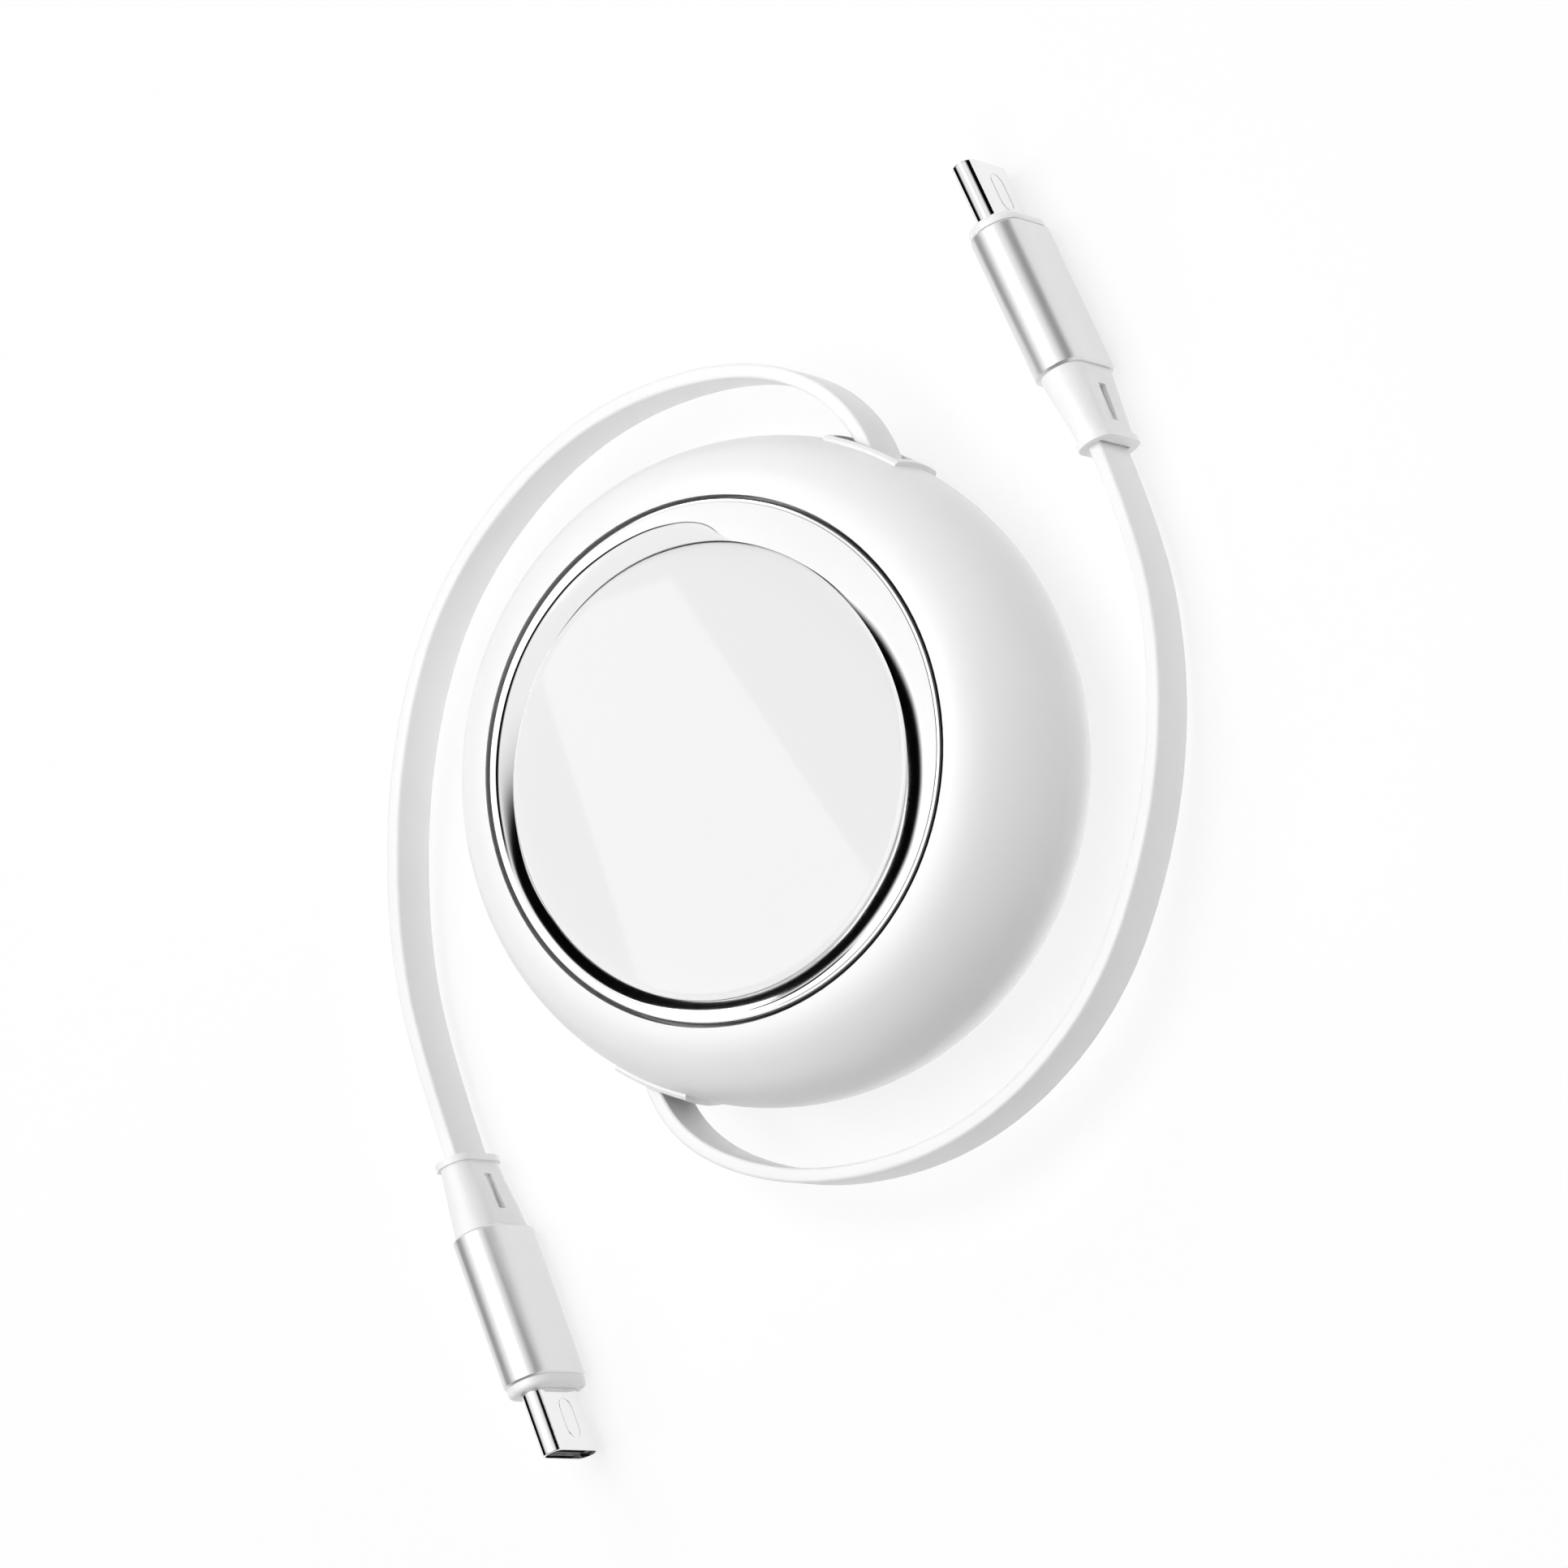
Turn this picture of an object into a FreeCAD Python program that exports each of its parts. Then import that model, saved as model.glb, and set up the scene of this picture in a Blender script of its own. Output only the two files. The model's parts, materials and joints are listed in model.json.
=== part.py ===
import FreeCAD, Part
import math
import os
import Sketcher
from FreeCAD import Placement, Rotation, Vector

# Retractable USB-C charging cable lying on its back: the case axis is Z and the front faces up.
# The cable mouths are on the +Y and -Y sides, and the floor is at z = 0.

doc = FreeCAD.newDocument("retractable_cable")
sheet = doc.addObject("Spreadsheet::Sheet", "sizes")

# Driving dimensions in millimetres and degrees
DIMENSIONS = {
    # Case
    "case_radius": 33.0,
    "case_height": 24.4,
    "front_round": 7.0,
    "rear_round": 8.8,
    "wall": 1.9,
    "lip_width": 0.8,
    "lip_height": 1.4,
    "lip_clearance": 0.1,
    # Cable mouths
    "mouth_bearing": 2.5,
    "mouth_proud": 0.5,
    "mouth_rim": 0.65,
    "mouth_rim_angle": 2.25,
    "mouth_bevel": 0.3,
    "mouth_root_depth": 0.5,
    "slot_angle": 13.0,
    "slot_clearance": 0.35,
    # Front: ring, disc and the screw under it
    "seat_depth": 2.2,
    "deck_thickness": 1.8,
    "ring_shoulder": 0.4,
    "ring_width": 3.3,
    "ring_clearance": 0.3,
    "bead_width": 0.8,
    "bead_rise": 0.15,
    "dish_drop": 0.85,
    "dish_bend_drop": 0.25,
    "dish_bend_width": 1.1,
    "disc_offset": 1.2,
    "disc_shift": 0.5,
    "disc_clearance": 0.06,
    "disc_sink": 0.9,
    "disc_bevel": 0.15,
    "tape_thickness": 0.2,
    "tape_margin": 1.0,
    "screw_radius": 1.0,
    "screw_clearance": 0.05,
    "screw_length": 9.0,
    "screw_head_radius": 1.9,
    "screw_head_height": 1.2,
    "screw_head_gap": 0.2,
    # Reel
    "post_radius": 3.0,
    "post_rise": 1.4,
    "boss_radius": 3.6,
    "bore_clearance": 0.05,
    "thrust_radius": 6.0,
    "thrust_height": 0.35,
    "thrust_gap": 0.15,
    "hub_radius": 11.5,
    "hub_wall": 1.5,
    "flange_clearance": 2.6,
    "flange_thickness": 1.2,
    "web_thickness": 3.0,
    "cover_thickness": 1.0,
    "cover_seat": 0.75,
    "cover_clearance": 0.05,
    "winding_radius": 20.5,
    "winding_clearance": 0.05,
    "spring_post_gap": 0.4,
    "spring_pitch": 1.0,
    "spring_outer_gap": 0.3,
    "spring_strip": 0.35,
    "spring_width": 7.0,
    "spring_floor_gap": 0.2,
    # Ratchet
    "track_margin": 0.9,
    "track_depth": 1.2,
    "outer_lane": 2.3,
    "island_width": 1.6,
    "inner_lane": 2.1,
    "island_angle": 80.0,
    "pawl_pivot_margin": 2.5,
    "pawl_pivot_bearing": 208.0,
    "pawl_reach": 8.6,
    "pawl_thickness": 1.4,
    "pawl_lift": 0.2,
    "pawl_pin_radius": 1.0,
    "pawl_bore_clearance": 0.05,
    "pawl_eye_radius": 2.0,
    "pawl_arm_width": 1.8,
    "pawl_tip_radius": 0.7,
    "pawl_tip_gap": 0.3,
    # Ribbon cables
    "ribbon_width": 6.0,
    "ribbon_thickness": 1.45,
    "ribbon_side_clearance": 0.2,
    # Plugs
    "plug_margin_wide": 1.18,
    "plug_margin_flat": 1.545,
    "sleeve_length": 16.3,
    "sleeve_wall": 0.7,
    "sleeve_chamfer": 0.25,
    "core_clearance": 0.05,
    "nose_length": 1.0,
    "nose_inset": 0.15,
    "nose_round": 0.5,
    "relief_length": 8.1,
    "relief_inset_wide": 0.3,
    "relief_inset_flat": 0.5,
    "relief_wall_wide": 1.0,
    "relief_wall_flat": 0.95,
    "relief_lip_proud": 0.35,
    "relief_lip_length": 0.7,
    "relief_slit_length": 4.0,
    "relief_slit_width": 1.4,
    "relief_slit_depth": 1.35,
    "relief_slit_start": 2.1,
    "ribbon_fit": 0.03,
    "usb_width": 8.34,
    "usb_thickness": 2.56,
    "usb_exposed": 6.65,
    "usb_embedded": 6.0,
    "usb_wall": 0.25,
    "usb_round": 0.12,
    "usb_fit": 0.03,
    "tab_length": 4.4,
    "tab_width": 2.4,
    "tab_line": 0.14,
    "tab_depth": 0.12,
    "tab_setback": 1.2,
    "insulator_setback": 0.5,
    "insulator_fit": 0.02,
    "tongue_inset": 1.44,
    "tongue_height": 1.1,
    "tongue_depth": 5.6,
    "contact_pitch": 0.5,
    "contact_width": 0.26,
    "contact_thickness": 0.15,
    "contact_setback": 0.5,
    "board_length": 8.0,
    "board_inset": 0.94,
    "board_thickness": 0.8,
    "board_room": 0.4,
}

# Angle of each plug to +X, seen from above
PLUG_YAW = {"a": -43.2, "b": 140.9}

# Middle of each strain relief's cable end, on the floor plan
PLUG_PLACE = {"a": (-21.9, -50.0), "b": (18.45, 41.42)}

# Floor plan of each ribbon from the winding to its last bend, with the height above the floor
ROUTES = {
    "a": [
        (14.9, 15.5, 12.2),
        (5.4, 24.6, 12.2),
        (-4.1, 36.5, 12.2),
        (-19.0, 36.3, 11.6),
        (-36.0, 24.0, 10.2),
        (-45.2, 4.5, 8.3),
        (-44.7, -14.2, 6.6),
        (-37.3, -32.9, 5.6),
    ],
    "b": [
        (-14.9, -15.5, 12.2),
        (-4.8, -25.2, 12.2),
        (3.7, -37.0, 12.2),
        (19.5, -36.1, 11.6),
        (34.2, -25.6, 10.2),
        (41.1, -9.1, 8.3),
        (39.5, 8.3, 6.6),
        (33.7, 23.9, 5.6),
    ],
}

# Share of the shorter run that each bend of a route takes up
BEND_SHARE = 0.45

# Distance from a strain relief's cable end back to the ribbon's last bend
LAST_RUN = 7.4

CONTACTS_IN_A_ROW = 12


class Size:
    """A number together with the sheet formula that gives it."""

    def __init__(self, value, text):
        self.value = value
        self.text = text

    def __add__(self, other):
        other = size(other)
        return Size(self.value + other.value, "(%s + %s)" % (self.text, other.text))

    def __sub__(self, other):
        other = size(other)
        return Size(self.value - other.value, "(%s - %s)" % (self.text, other.text))

    def __mul__(self, other):
        other = size(other)
        return Size(self.value * other.value, "(%s * %s)" % (self.text, other.text))

    def __truediv__(self, other):
        other = size(other)
        return Size(self.value / other.value, "(%s / %s)" % (self.text, other.text))

    def __neg__(self):
        return Size(-self.value, "(0 - %s)" % self.text)

    def root(self):
        return Size(math.sqrt(self.value), "sqrt(%s)" % self.text)


def size(number):
    """Returns a plain number as a Size and leaves a Size as it is."""
    if isinstance(number, Size):
        return number
    return Size(float(number), repr(float(number)))


class Dimensions:
    """The driving dimensions as attributes."""


dim = Dimensions()
for row, (name, number) in enumerate(DIMENSIONS.items(), 1):
    sheet.set("A%d" % row, name)
    sheet.set("B%d" % row, str(number))
    sheet.setAlias("B%d" % row, name)
    setattr(dim, name, Size(number, "sizes.%s" % name))
doc.recompute()

ZERO = size(0)

# Heights and radii that several pieces share
mid_z = dim.case_height / 2
front_crown = dim.case_radius - dim.front_round
rear_crown = dim.case_radius - dim.rear_round
inner_radius = dim.case_radius - dim.wall
ring_radius = front_crown - dim.ring_shoulder
disc_radius = ring_radius - dim.ring_width
seat_radius = ring_radius + dim.ring_clearance
seat_z = dim.case_height - dim.seat_depth
deck_z = seat_z - dim.deck_thickness
head_z = seat_z - dim.screw_head_height - dim.screw_head_gap
drum_bottom = dim.wall + dim.thrust_height + dim.thrust_gap
flange_low = mid_z - dim.ribbon_width / 2 - dim.ribbon_side_clearance
flange_high = mid_z + dim.ribbon_width / 2 + dim.ribbon_side_clearance
flange_radius = inner_radius - dim.flange_clearance
spool_top = flange_high + dim.flange_thickness
post_top = spool_top + dim.post_rise
web_z = spool_top - dim.web_thickness
bore_radius = dim.post_radius + dim.bore_clearance
spring_room = dim.hub_radius - dim.hub_wall
cover_seat_radius = spring_room + dim.cover_seat
track_outer = dim.hub_radius - dim.track_margin
island_outer = track_outer - dim.outer_lane
island_inner = island_outer - dim.island_width
track_inner = island_inner - dim.inner_lane
pawl_z = spool_top + dim.pawl_lift
pawl_pivot_distance = dim.hub_radius + dim.pawl_pivot_margin
slot_half_height = dim.ribbon_width / 2 + dim.slot_clearance
mouth_half_height = slot_half_height + dim.mouth_rim
mouth_angle = dim.slot_angle + dim.mouth_rim_angle
plug_width = dim.usb_width + dim.plug_margin_wide * 2
plug_thickness = dim.usb_thickness + dim.plug_margin_flat * 2
plug_z = plug_width / 2

parts = []


def finished(item, label):
    """Names a sub-part and puts it on the list of pieces to write."""
    item.Label = label
    parts.append(item)
    return item


def bind(item, prop, formula):
    """Ties a property to the sheet."""
    item.setExpression(prop, size(formula).text)


def origin_plane(body, role):
    for feature in body.Origin.OriginFeatures:
        if feature.Role == role:
            return feature
    raise ValueError(role)


def new_sketch(body, name, role, offset=None):
    """Starts a sketch on one of the body's own planes, moved along its normal by offset."""
    sketch = body.newObject("Sketcher::SketchObject", name)
    sketch.AttachmentSupport = [(origin_plane(body, role), "")]
    sketch.MapMode = "FlatFace"
    if offset is not None:
        bind(sketch, "AttachmentOffset.Base.z", offset)
    return sketch


def locate(sketch, geometry, point, x, y):
    """Fixes a point of the sketch at x, y from its origin."""
    for kind, place in (("DistanceX", x), ("DistanceY", y)):
        place = size(place)
        index = sketch.addConstraint(Sketcher.Constraint(kind, -1, 1, geometry, point, place.value))
        sketch.setExpression("Constraints[%d]" % index, place.text)


def oval_arc(p, q, centre, half_x, half_y):
    """Arc of an upright ellipse between two of its points, and the end that lies at p."""
    x = centre[0].value
    y = centre[1].value
    top = Vector(x, y + half_y.value, 0)
    left = Vector(x - half_x.value, y, 0)
    ellipse = Part.Ellipse(top, left, Vector(x, y, 0))
    angles = []
    for point in (p, q):
        across = (x - point[0].value) / half_x.value
        along = (point[1].value - y) / half_y.value
        angles.append(math.atan2(across, along) % (2 * math.pi))
    first, last = angles
    if (last - first) % (2 * math.pi) < math.pi:
        return Part.ArcOfEllipse(ellipse, first, first + (last - first) % (2 * math.pi)), 1
    return Part.ArcOfEllipse(ellipse, last, last + (first - last) % (2 * math.pi)), 2


def draw(sketch, corners, ovals=None):
    """Closed outline through the corners; ovals names the sides that are arcs of an ellipse."""
    ovals = ovals or {}
    sides = []
    for i, p in enumerate(corners):
        q = corners[(i + 1) % len(corners)]
        if i in ovals:
            arc, start = oval_arc(p, q, *ovals[i])
            sides.append((sketch.addGeometry(arc), start, 3 - start))
        else:
            ends = [Vector(point[0].value, point[1].value, 0) for point in (p, q)]
            sides.append((sketch.addGeometry(Part.LineSegment(*ends)), 1, 2))
    for i, (geometry, start, end) in enumerate(sides):
        before = sides[i - 1]
        sketch.addConstraint(Sketcher.Constraint("Coincident", before[0], before[2], geometry, start))
        locate(sketch, geometry, start, *corners[i])
    for i, (centre, half_x, half_y) in ovals.items():
        locate(sketch, sides[i][0], 3, *centre)
        axis = sketch.GeometryCount
        sketch.exposeInternalGeometry(sides[i][0])
        sketch.addConstraint(Sketcher.Constraint("Vertical", axis))


def corner_list(*pairs):
    return [(size(x), size(y)) for x, y in pairs]


def draw_stadium(sketch, width, thickness):
    """Full-round slot outline, width upright and thickness across."""
    half = (width - thickness) / 2
    radius = thickness / 2
    lines = []
    for sign in (1, -1):
        x = radius * sign
        start = Vector(x.value, -half.value * sign, 0)
        end = Vector(x.value, half.value * sign, 0)
        line = sketch.addGeometry(Part.LineSegment(start, end))
        locate(sketch, line, 1, x, half * -sign)
        locate(sketch, line, 2, x, half * sign)
        lines.append(line)
    for sign, turn in ((1, 0.0), (-1, math.pi)):
        centre = Vector(0, half.value * sign, 0)
        circle = Part.Circle(centre, Vector(0, 0, 1), radius.value)
        arc = sketch.addGeometry(Part.ArcOfCircle(circle, turn, turn + math.pi))
        here = lines[0] if sign > 0 else lines[1]
        there = lines[1] if sign > 0 else lines[0]
        sketch.addConstraint(Sketcher.Constraint("Coincident", arc, 1, here, 2))
        sketch.addConstraint(Sketcher.Constraint("Coincident", arc, 2, there, 1))
        middle = half * sign
        index = sketch.addConstraint(Sketcher.Constraint("DistanceY", -1, 1, arc, 3, middle.value))
        sketch.setExpression("Constraints[%d]" % index, middle.text)


def draw_slot(sketch, start, end, width):
    """Full-round slot outline along the sketch's x axis."""
    radius = width / 2
    first = start + radius
    last = end - radius
    lines = []
    for sign in (-1, 1):
        ends = [(first, radius * sign), (last, radius * sign)]
        line = sketch.addGeometry(Part.LineSegment(*[Vector(x.value, y.value, 0) for x, y in ends]))
        locate(sketch, line, 1, *ends[0])
        locate(sketch, line, 2, *ends[1])
        lines.append(line)
    for middle, turn, point in ((last, -math.pi / 2, 2), (first, math.pi / 2, 1)):
        circle = Part.Circle(Vector(middle.value, 0, 0), Vector(0, 0, 1), radius.value)
        arc = sketch.addGeometry(Part.ArcOfCircle(circle, turn, turn + math.pi))
        here, there = lines if turn < 0 else lines[::-1]
        sketch.addConstraint(Sketcher.Constraint("Coincident", arc, 1, here, point))
        sketch.addConstraint(Sketcher.Constraint("Coincident", arc, 2, there, point))
        index = sketch.addConstraint(Sketcher.Constraint("DistanceX", -1, 1, arc, 3, middle.value))
        sketch.setExpression("Constraints[%d]" % index, middle.text)


def draw_circle(sketch, x, y, radius):
    circle = Part.Circle(Vector(size(x).value, size(y).value, 0), Vector(0, 0, 1), radius.value)
    geometry = sketch.addGeometry(circle)
    locate(sketch, geometry, 3, x, y)
    index = sketch.addConstraint(Sketcher.Constraint("Radius", geometry, radius.value))
    sketch.setExpression("Constraints[%d]" % index, radius.text)


def turned(body, name, role, corners, ovals=None, angle=None, cut=False, bearing=None):
    """Turns an outline about the case axis, all round or over an angle centred on the plane."""
    sketch = new_sketch(body, name + "_outline", role)
    if bearing is not None:
        sketch.AttachmentOffset = Placement(Vector(), Rotation(Vector(0, 1, 0), bearing.value))
        bind(sketch, "AttachmentOffset.Rotation.Angle", bearing)
    draw(sketch, corners, ovals)
    kind = "PartDesign::Groove" if cut else "PartDesign::Revolution"
    feature = body.newObject(kind, name)
    feature.Profile = sketch
    feature.ReferenceAxis = (sketch, ["V_Axis"])
    feature.Angle = 360
    if angle is not None:
        feature.Midplane = True
        bind(feature, "Angle", angle)
    return feature


def repeated(body, name, features, count):
    """Repeats features evenly round the case axis."""
    axis = next(item for item in body.Origin.OriginFeatures if item.Role == "Z_Axis")
    pattern = body.newObject("PartDesign::PolarPattern", name)
    pattern.Originals = features
    pattern.Axis = (axis, [""])
    pattern.Angle = 360
    pattern.Occurrences = count
    body.Tip = pattern
    return pattern


def extruded(body, name, sketch, length, cut=False, reverse=False):
    feature = body.newObject("PartDesign::Pocket" if cut else "PartDesign::Pad", name)
    feature.Profile = sketch
    feature.Reversed = reverse
    bind(feature, "Length", length)
    return feature


def cable_mouths(body, side, crown, side_round):
    """The two raised mouths of a shell and their slots; side is +1 above the joint, -1 below."""
    half_x = side_round + dim.mouth_proud
    half_y = mid_z + dim.mouth_proud
    rise = mouth_half_height - dim.mouth_bevel
    root = inner_radius - dim.mouth_root_depth
    reach = crown + half_x * (size(1) - (rise * rise) / (half_y * half_y)).root()
    end_z = mid_z + mouth_half_height * side
    collar = corner_list(
        (root, mid_z),
        (dim.case_radius + dim.mouth_proud, mid_z),
        (reach, mid_z + rise * side),
        (reach - dim.mouth_bevel, end_z),
        (root, end_z),
    )
    bow = {1: ((crown, mid_z), half_x, half_y)}
    raised = turned(body, "mouth", "YZ_Plane", collar, bow, mouth_angle, False, dim.mouth_bearing)
    slot_end = mid_z + slot_half_height * side
    slot_start = mid_z - dim.lip_height * 2 * side
    slot_inside = root - dim.wall
    slot_outside = dim.case_radius + dim.mouth_proud * 2
    slot = corner_list(
        (slot_inside, slot_start),
        (slot_outside, slot_start),
        (slot_outside, slot_end),
        (slot_inside, slot_end),
    )
    opened = turned(body, "slot", "YZ_Plane", slot, None, dim.slot_angle, True, dim.mouth_bearing)
    repeated(body, "mouths", [raised, opened], 2)


def pawl_pivot():
    """Place of the pawl's pivot on the floor plan."""
    bearing = math.radians(dim.pawl_pivot_bearing.value)
    distance = pawl_pivot_distance.value
    return Vector(distance * math.cos(bearing), distance * math.sin(bearing), 0)


def pawl_angle():
    """Direction of the pawl's arm when its pin lies in the outer lane."""
    distance = pawl_pivot_distance.value
    reach = dim.pawl_reach.value
    lane = (track_outer - dim.outer_lane / 2).value
    lean = math.acos((distance ** 2 + reach ** 2 - lane ** 2) / (2 * distance * reach))
    return dim.pawl_pivot_bearing.value + 180.0 + math.degrees(lean)


def make_front_shell():
    body = doc.addObject("PartDesign::Body", "front_shell")
    shank_radius = dim.screw_radius + dim.screw_clearance
    head_radius = dim.screw_head_radius + dim.screw_head_gap
    outline = corner_list(
        (dim.case_radius, mid_z),
        (front_crown, dim.case_height),
        (seat_radius, dim.case_height),
        (seat_radius, seat_z),
        (head_radius, seat_z),
        (head_radius, head_z),
        (shank_radius, head_z),
        (shank_radius, post_top),
        (dim.boss_radius, post_top),
        (dim.boss_radius, deck_z),
        (front_crown, deck_z),
        (inner_radius, mid_z),
    )
    centre = (front_crown, mid_z)
    sides = {
        0: (centre, dim.front_round, mid_z),
        10: (centre, dim.front_round - dim.wall, deck_z - mid_z),
    }
    turned(body, "dome", "XZ_Plane", outline, sides)
    cable_mouths(body, 1, front_crown, dim.front_round)
    rebate_top = mid_z + dim.lip_height + dim.lip_clearance
    rebate_out = inner_radius + dim.lip_width + dim.lip_clearance
    rebate = corner_list(
        (inner_radius - dim.wall, mid_z - dim.lip_height),
        (rebate_out, mid_z - dim.lip_height),
        (rebate_out, rebate_top),
        (inner_radius - dim.wall, rebate_top),
    )
    turned(body, "rebate", "XZ_Plane", rebate, None, None, True)
    pin = new_sketch(body, "pawl_pin_outline", "XY_Plane", pawl_z)
    bearing = "sizes.pawl_pivot_bearing * 1 deg"
    pivot = pawl_pivot()
    x = Size(pivot.x, "%s * cos(%s)" % (pawl_pivot_distance.text, bearing))
    y = Size(pivot.y, "%s * sin(%s)" % (pawl_pivot_distance.text, bearing))
    draw_circle(pin, x, y, dim.pawl_pin_radius)
    extruded(body, "pawl_pin", pin, deck_z - pawl_z + dim.deck_thickness / 2)
    finished(body, "front_shell")


def make_rear_shell():
    body = doc.addObject("PartDesign::Body", "rear_shell")
    pilot_radius = dim.screw_radius + dim.screw_clearance
    pilot_bottom = head_z - dim.screw_length - dim.screw_head_gap
    lip_top = mid_z + dim.lip_height
    lip_out = inner_radius + dim.lip_width
    thrust_z = dim.wall + dim.thrust_height
    outline = corner_list(
        (dim.case_radius, mid_z),
        (rear_crown, ZERO),
        (ZERO, ZERO),
        (ZERO, pilot_bottom),
        (pilot_radius, pilot_bottom),
        (pilot_radius, post_top),
        (dim.post_radius, post_top),
        (dim.post_radius, thrust_z),
        (dim.thrust_radius, thrust_z),
        (dim.thrust_radius, dim.wall),
        (rear_crown, dim.wall),
        (inner_radius, mid_z),
        (inner_radius, lip_top),
        (lip_out, lip_top),
        (lip_out, mid_z),
    )
    centre = (rear_crown, mid_z)
    sides = {
        0: (centre, dim.rear_round, mid_z),
        10: (centre, dim.rear_round - dim.wall, mid_z - dim.wall),
    }
    turned(body, "bowl", "XZ_Plane", outline, sides)
    cable_mouths(body, -1, rear_crown, dim.rear_round)
    finished(body, "rear_shell")


def make_trim_ring():
    """Ring with a round rim, whose face rolls down to the off-centre disc."""
    rim_z = dim.case_height
    bead_in = ring_radius - dim.bead_width
    bead_radius = dim.bead_width / 2
    pocket_radius = disc_radius + dim.disc_clearance
    bend_share = dim.dish_bend_width / (bead_in - pocket_radius)
    blank = doc.addObject("Part::Cylinder", "ring_blank")
    bind(blank, "Radius", ring_radius)
    bind(blank, "Height", rim_z - seat_z)
    bind(blank, "Placement.Base.z", seat_z)
    bead = doc.addObject("Part::Torus", "ring_bead")
    bind(bead, "Radius1", ring_radius - bead_radius)
    bind(bead, "Radius2", bead_radius)
    bind(bead, "Placement.Base.z", rim_z + dim.bead_rise - bead_radius)
    beaded = doc.addObject("Part::Fuse", "ring_beaded")
    beaded.Base = blank
    beaded.Tool = bead
    circles = []
    for name, radius, share, height in (
        ("mouth", pocket_radius, size(1), rim_z - dim.dish_drop),
        ("bend", pocket_radius + dim.dish_bend_width, size(1) - bend_share, rim_z - dim.dish_bend_drop),
        ("rim", bead_in, ZERO, rim_z),
    ):
        circle = doc.addObject("Part::Circle", "ring_" + name)
        bind(circle, "Radius", radius)
        bind(circle, "Placement.Base.x", -dim.disc_shift * share)
        bind(circle, "Placement.Base.y", -dim.disc_offset * share)
        bind(circle, "Placement.Base.z", height)
        circles.append(circle)
    dish = doc.addObject("Part::Loft", "ring_dish")
    dish.Sections = circles
    dish.Solid = True
    pocket = doc.addObject("Part::Cylinder", "ring_pocket")
    bind(pocket, "Radius", pocket_radius)
    bind(pocket, "Height", rim_z - seat_z)
    bind(pocket, "Placement.Base.x", -dim.disc_shift)
    bind(pocket, "Placement.Base.y", -dim.disc_offset)
    bind(pocket, "Placement.Base.z", seat_z)
    sloped = doc.addObject("Part::Cut", "ring_sloped")
    sloped.Base = beaded
    sloped.Tool = dish
    ring = doc.addObject("Part::Cut", "trim_ring")
    ring.Base = sloped
    ring.Tool = pocket
    finished(ring, "trim_ring")


def make_disc_and_tape():
    tape = doc.addObject("Part::Cylinder", "disc_tape")
    bind(tape, "Radius", disc_radius - dim.tape_margin)
    bind(tape, "Height", dim.tape_thickness)
    bind(tape, "Placement.Base.x", -dim.disc_shift)
    bind(tape, "Placement.Base.y", -dim.disc_offset)
    bind(tape, "Placement.Base.z", seat_z)
    finished(tape, "disc_tape")
    bottom = seat_z + dim.tape_thickness
    top = dim.case_height - dim.disc_sink
    disc = doc.addObject("PartDesign::Body", "face_disc")
    bind(disc, "Placement.Base.x", -dim.disc_shift)
    bind(disc, "Placement.Base.y", -dim.disc_offset)
    turned(disc, "plate", "XZ_Plane", corner_list(
        (ZERO, bottom),
        (disc_radius, bottom),
        (disc_radius, top - dim.disc_bevel),
        (disc_radius - dim.disc_bevel, top),
        (ZERO, top),
    ))
    finished(disc, "face_disc")


def make_case_screw():
    shank = doc.addObject("Part::Cylinder", "screw_shank")
    bind(shank, "Radius", dim.screw_radius)
    bind(shank, "Height", dim.screw_length)
    bind(shank, "Placement.Base.z", head_z - dim.screw_length)
    head = doc.addObject("Part::Cylinder", "screw_head")
    bind(head, "Radius", dim.screw_head_radius)
    bind(head, "Height", dim.screw_head_height)
    bind(head, "Placement.Base.z", head_z)
    screw = doc.addObject("Part::Fuse", "case_screw")
    screw.Base = shank
    screw.Tool = head
    finished(screw, "case_screw")


def make_spool():
    body = doc.addObject("PartDesign::Body", "spool")
    track_floor = spool_top - dim.track_depth
    cover_top = drum_bottom + dim.cover_thickness
    outline = corner_list(
        (bore_radius, web_z),
        (bore_radius, spool_top),
        (track_inner, spool_top),
        (track_inner, track_floor),
        (track_outer, track_floor),
        (track_outer, spool_top),
        (flange_radius, spool_top),
        (flange_radius, flange_high),
        (dim.hub_radius, flange_high),
        (dim.hub_radius, flange_low),
        (flange_radius, flange_low),
        (flange_radius, flange_low - dim.flange_thickness),
        (dim.hub_radius, flange_low - dim.flange_thickness),
        (dim.hub_radius, drum_bottom),
        (cover_seat_radius, drum_bottom),
        (cover_seat_radius, cover_top),
        (spring_room, cover_top),
        (spring_room, web_z),
    )
    turned(body, "drum", "XZ_Plane", outline)
    island = corner_list(
        (island_inner, track_floor),
        (island_outer, track_floor),
        (island_outer, spool_top),
        (island_inner, spool_top),
    )
    raised = turned(body, "island", "XZ_Plane", island, None, dim.island_angle)
    repeated(body, "islands", [raised], 3)
    finished(body, "spool")


def make_ring_piece(label, inner, outer, bottom, height):
    """Plain ring about the case axis."""
    outside = doc.addObject("Part::Cylinder", label + "_outside")
    bind(outside, "Radius", outer)
    inside = doc.addObject("Part::Cylinder", label + "_inside")
    bind(inside, "Radius", inner)
    for item in (outside, inside):
        bind(item, "Height", height)
        bind(item, "Placement.Base.z", bottom)
    ring = doc.addObject("Part::Cut", label)
    ring.Base = outside
    ring.Tool = inside
    finished(ring, label)


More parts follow.
